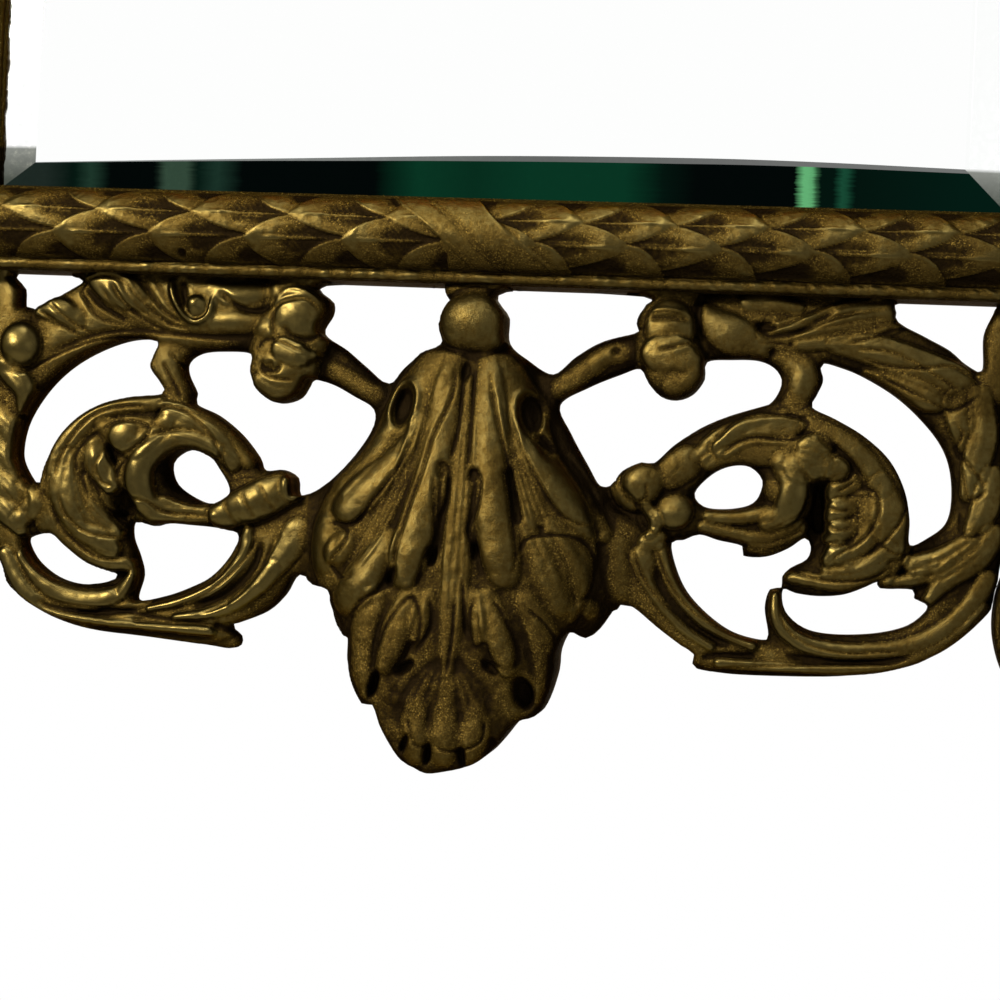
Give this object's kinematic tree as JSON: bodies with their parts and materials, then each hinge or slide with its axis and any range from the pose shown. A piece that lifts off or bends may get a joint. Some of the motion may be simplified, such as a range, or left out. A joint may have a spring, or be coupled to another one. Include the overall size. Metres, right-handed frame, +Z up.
{
  "type": "wall mirror",
  "caption": "Wall mirror with a bevelled plate in a cast brass frame of laurel moulding and pierced acanthus scrollwork, with hanging rings on its back.",
  "frame": {"origin": "the middle of the mirror on the wall's surface, behind the centre of the glass", "axes": "+Z up, +Y into the wall, the mirror looks along -Y, +X to the right as seen from the front"},
  "size_m": [0.6878, 0.037, 0.7598],
  "materials": {
    "cast_brass": "cast, with an old dark patina rubbed bright on the high places",
    "glass": "polished, with a ground and polished bevel",
    "silvering": "bright in front, dark back paint behind",
    "backboard": "planed softwood, stained",
    "cork": "raw cork",
    "plate_steel": "dull, lightly tarnished",
    "drawn_brass": "drawn, lightly tarnished",
    "screw_brass": "turned",
    "screw_steel": "turned"
  },
  "bodies": {
    "frame": {"bottom_rail": "cast_brass", "top_rail": "cast_brass", "left_rail": "cast_brass", "right_rail": "cast_brass", "bottom_boss": "cast_brass", "top_boss": "cast_brass", "left_boss": "cast_brass", "right_boss": "cast_brass", "bottom_scroll_left": "cast_brass", "bottom_scroll_right": "cast_brass", "top_scroll_left": "cast_brass", "top_scroll_right": "cast_brass", "left_scroll_upper": "cast_brass", "left_scroll_lower": "cast_brass", "right_scroll_upper": "cast_brass", "right_scroll_lower": "cast_brass", "palmette_bottom_left": "cast_brass", "palmette_bottom_right": "cast_brass", "palmette_top_left": "cast_brass", "palmette_top_right": "cast_brass", "mirror_glass": "glass", "silvering": "silvering", "backboard": "backboard", "cork_slips": "cork", "corner_plate_1": "plate_steel", "corner_plate_2": "plate_steel", "corner_plate_3": "plate_steel", "corner_plate_4": "plate_steel", "corner_plate_screws": "screw_brass", "turn_button_screws": "screw_brass", "hanger_plate_left": "plate_steel", "hanger_plate_right": "plate_steel", "hanger_screws": "screw_steel", "casting_screws": "screw_brass", "palmette_screws": "screw_brass"},
    "ring_left": {"hanger_ring_left": "drawn_brass"},
    "ring_right": {"hanger_ring_right": "drawn_brass"},
    "button_1": {"turn_button_1": "drawn_brass"},
    "button_2": {"turn_button_2": "drawn_brass"},
    "button_3": {"turn_button_3": "drawn_brass"},
    "button_4": {"turn_button_4": "drawn_brass"},
    "button_5": {"turn_button_5": "drawn_brass"},
    "button_6": {"turn_button_6": "drawn_brass"}
  },
  "joints": [
    {"name": "ring_left_swing", "type": "hinge", "parent": "frame", "child": "ring_left", "pos_m": [-0.176, -0.0059, 0.094], "axis": [1, 0, 0], "range_deg": [0, 180]},
    {"name": "ring_right_swing", "type": "hinge", "parent": "frame", "child": "ring_right", "pos_m": [0.176, -0.0059, 0.094], "axis": [1, 0, 0], "range_deg": [0, 180]},
    {"name": "button_1_turn", "type": "hinge", "parent": "frame", "child": "button_1", "pos_m": [0, -0.007, -0.2105], "axis": [0, 1, 0], "range_deg": [-100, 100]},
    {"name": "button_2_turn", "type": "hinge", "parent": "frame", "child": "button_2", "pos_m": [0, -0.007, 0.2105], "axis": [0, 1, 0], "range_deg": [-100, 100]},
    {"name": "button_3_turn", "type": "hinge", "parent": "frame", "child": "button_3", "pos_m": [-0.1745, -0.007, -0.13068], "axis": [0, 1, 0], "range_deg": [-100, 100]},
    {"name": "button_4_turn", "type": "hinge", "parent": "frame", "child": "button_4", "pos_m": [-0.1745, -0.007, 0.1386], "axis": [0, 1, 0], "range_deg": [-100, 100]},
    {"name": "button_5_turn", "type": "hinge", "parent": "frame", "child": "button_5", "pos_m": [0.1745, -0.007, -0.13068], "axis": [0, 1, 0], "range_deg": [-100, 100]},
    {"name": "button_6_turn", "type": "hinge", "parent": "frame", "child": "button_6", "pos_m": [0.1745, -0.007, 0.1386], "axis": [0, 1, 0], "range_deg": [-100, 100]}
  ]
}
